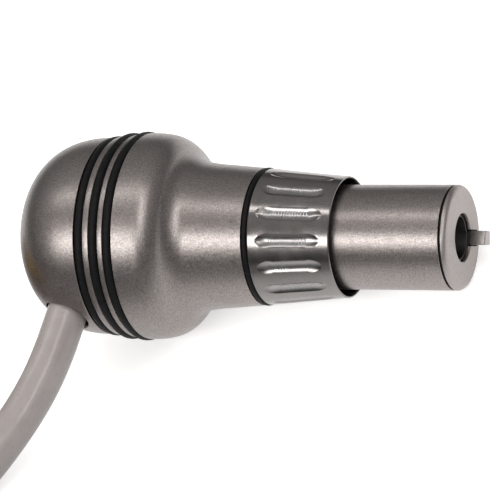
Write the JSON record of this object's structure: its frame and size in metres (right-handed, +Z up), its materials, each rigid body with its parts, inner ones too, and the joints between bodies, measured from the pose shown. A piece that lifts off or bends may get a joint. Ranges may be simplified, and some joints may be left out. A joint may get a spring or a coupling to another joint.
{
  "type": "pneumatic palm handpiece",
  "caption": "Pneumatic palm handpiece: ball grip with rubber rings, fluted stroke ring, sprung nose with a round tool bore and key, and a clear air hose coiled and tied.",
  "frame": {"origin": "on the surface that the handpiece lies on, under the middle of the handpiece without its hose", "axes": "+X along the handpiece towards its nose, as seen from above; +Z up; the tool axis dips 9.47 degrees towards the nose"},
  "size_m": [0.169, 0.0876, 0.0324],
  "materials": {
    "blasted_metal": "bead-blasted, fine speckle, satin",
    "polished_steel": "turned and polished, machining marks in the flutes",
    "black_rubber": "matt nitrile",
    "hardened_steel": "ground",
    "brass": "machined",
    "bronze": "sintered bearing bronze",
    "alloy": "machined",
    "clear_hose": "clear flexible hose, slightly milky",
    "strap": "woven hook-and-loop strap",
    "ptfe": "smooth"
  },
  "bodies": {
    "handle": {"palm_shell": "blasted_metal", "rear_dome": "blasted_metal", "grip_oring_rear": "black_rubber", "grip_oring_middle": "black_rubber", "grip_oring_front": "black_rubber", "neck_oring": "black_rubber", "rear_bush": "bronze", "front_bush": "bronze", "ring_clip": "hardened_steel", "wiper_ring": "black_rubber", "inlet_block": "alloy", "hose_barb": "brass", "valve_seal": "black_rubber", "throttle_spring": "hardened_steel", "palm_spring": "hardened_steel", "hose_lead": "clear_hose", "hose_coil": "clear_hose", "hose_tail": "clear_hose", "hose_tie": "strap", "plug_ferrule": "brass", "plug_body": "brass", "plug_oring": "black_rubber"},
    "nose_barrel": {"nose_body": "blasted_metal", "barrel_head": "alloy", "head_oring": "black_rubber", "seam_ring": "black_rubber", "nose_cap": "blasted_metal", "index_key": "polished_steel", "tool_socket": "hardened_steel", "cushion_oring": "black_rubber", "hammer_spring": "hardened_steel"},
    "hammer": {"hammer": "hardened_steel", "piston_ring": "ptfe"},
    "throttle": {"throttle_poppet": "hardened_steel"},
    "stroke_ring": {"stroke_ring": "polished_steel"},
    "stroke_stop": {"stroke_stop": "bronze", "stop_pin_a": "hardened_steel", "stop_pin_b": "hardened_steel"}
  },
  "joints": [
    {"name": "palm_slide", "type": "slide", "parent": "handle", "child": "nose_barrel", "axis": [0.9864, 0, -0.1645], "range_m": [-0.0012, 0], "stiffness_N_per_m": 1500, "springref_m": 0.002, "deforming": ["palm_spring"]},
    {"name": "throttle_slide", "type": "slide", "parent": "handle", "child": "throttle", "axis": [0.9864, 0, -0.1645], "range_m": [-0.0012, 0], "deforming": ["throttle_spring"]},
    {"name": "hammer_slide", "type": "slide", "parent": "nose_barrel", "child": "hammer", "axis": [0.9864, 0, -0.1645], "range_m": [0, 0.004], "stiffness_N_per_m": 150, "springref_m": -0.002, "deforming": ["hammer_spring"]},
    {"name": "ring_turn", "type": "hinge", "parent": "handle", "child": "stroke_ring", "pos_m": [0.00957, 0, 0.01178], "axis": [0.9864, 0, -0.1645], "range_deg": [0, 100]},
    {"name": "stroke_stop_travel", "type": "slide", "parent": "handle", "child": "stroke_stop", "axis": [0.9864, 0, -0.1645], "range_m": [0, 0.0008]}
  ],
  "couplings": [
    {"joint": "throttle_slide", "follows": "palm_slide", "ratio": 1},
    {"joint": "stroke_stop_travel", "follows": "ring_turn", "m_per_rad": 0.000458}
  ]
}
